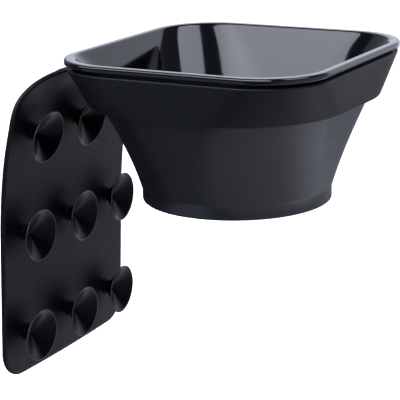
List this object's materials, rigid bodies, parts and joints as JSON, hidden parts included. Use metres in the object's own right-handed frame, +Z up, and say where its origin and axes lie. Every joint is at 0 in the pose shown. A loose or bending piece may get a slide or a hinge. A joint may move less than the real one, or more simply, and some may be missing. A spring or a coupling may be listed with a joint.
{
  "type": "hair color bowl",
  "caption": "Rounded-square tinting bowl with a round foot in a soft collar, whose sheet bends over one side and hangs as a pad of suction cups.",
  "frame": {"origin": "centre of the underside of the bowl's foot", "axes": "+Z up through the mouth of the bowl, -X towards the hanging suction pad, Y along the pad's width"},
  "size_m": [0.1671, 0.1378, 0.1636],
  "materials": {
    "bowl_plastic": "glossy inside and on the rim, satin outside",
    "silicone": "matte black silicone",
    "cup_silicone": "smooth, slightly glossy black silicone"
  },
  "bodies": {
    "collar": {"collar": "silicone"},
    "bowl": {"color_bowl": "bowl_plastic"},
    "strip": {"bend_strip": "silicone"},
    "pad": {"suction_pad": "silicone", "suction_cup_top_left": "cup_silicone", "suction_cup_top_centre": "cup_silicone", "suction_cup_top_right": "cup_silicone", "suction_cup_middle_left": "cup_silicone", "suction_cup_middle_centre": "cup_silicone", "suction_cup_middle_right": "cup_silicone", "suction_cup_bottom_left": "cup_silicone", "suction_cup_bottom_centre": "cup_silicone", "suction_cup_bottom_right": "cup_silicone"}
  },
  "joints": [
    {"name": "bowl_lift", "type": "slide", "parent": "collar", "child": "bowl", "axis": [0, 0, 1], "range_m": [0, 0.08]},
    {"name": "strip_fold", "type": "hinge", "parent": "collar", "child": "strip", "pos_m": [-0.07228, 0, 0.06211], "axis": [0, 1, 0], "range_deg": [0, 43.8]},
    {"name": "pad_fold", "type": "hinge", "parent": "strip", "child": "pad", "pos_m": [-0.08518, 0, 0.05173], "axis": [0, 1, 0], "range_deg": [0, 43.8]}
  ],
  "couplings": [
    {"joint": "strip_fold", "follows": "pad_fold", "ratio": 1}
  ]
}
